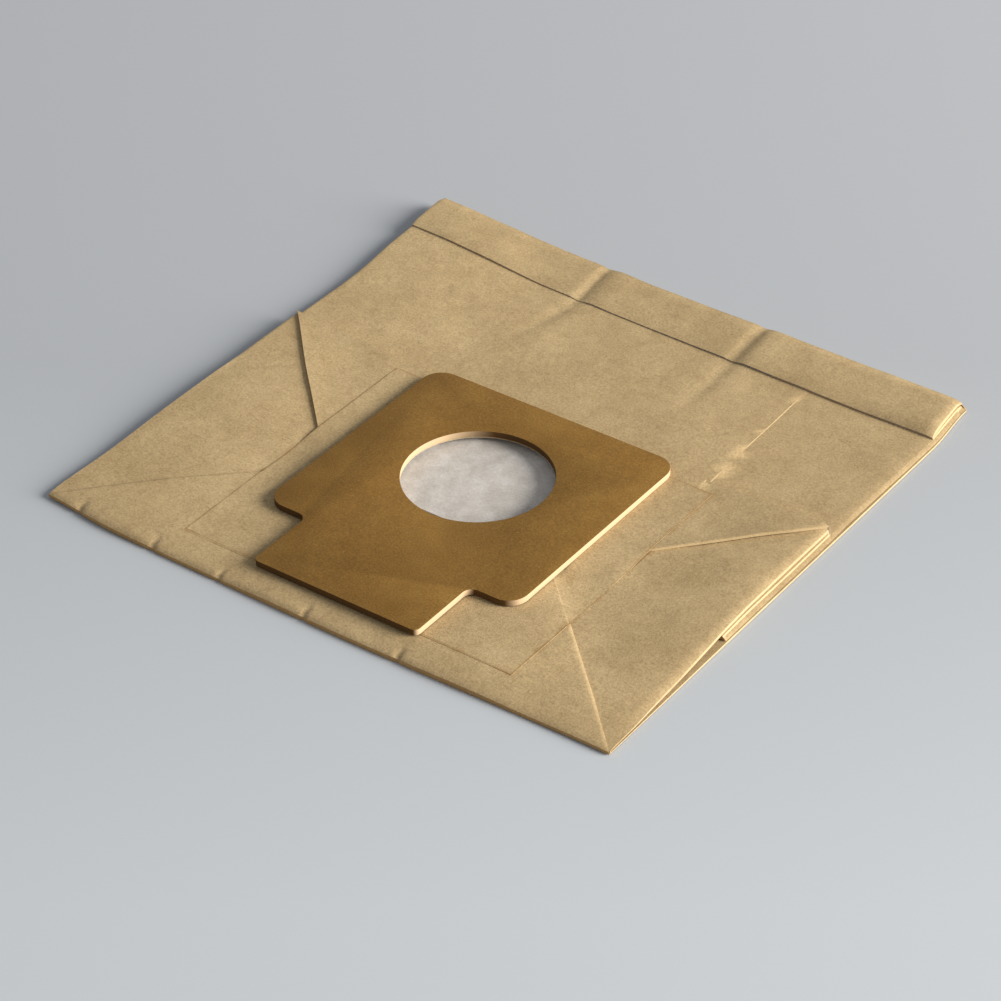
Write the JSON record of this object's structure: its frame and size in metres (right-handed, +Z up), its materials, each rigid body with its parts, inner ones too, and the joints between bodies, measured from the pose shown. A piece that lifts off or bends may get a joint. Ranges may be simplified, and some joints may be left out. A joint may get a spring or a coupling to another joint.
{
  "type": "vacuum dust bag",
  "caption": "Flat-folded paper dust bag for a vacuum cleaner: gusseted kraft bag with a block bottom, a filter liner and a card collar plate with a round inlet.",
  "frame": {"origin": "centre of the bag's footprint on the surface that it lies on", "axes": "+X along the front fold to the right, +Y back towards the closed end, +Z up through the collar plate"},
  "size_m": [0.2, 0.2, 0.0055],
  "materials": {
    "kraft_paper": "uncoated, matt, light brown",
    "filter_paper": "soft, matt, off-white",
    "card": "dense grey board, matt, dark brown"
  },
  "bodies": {
    "root": {"kraft_bag": "kraft_paper", "filter_liner": "filter_paper", "base_patch": "kraft_paper", "collar_plate": "card"}
  },
  "joints": []
}
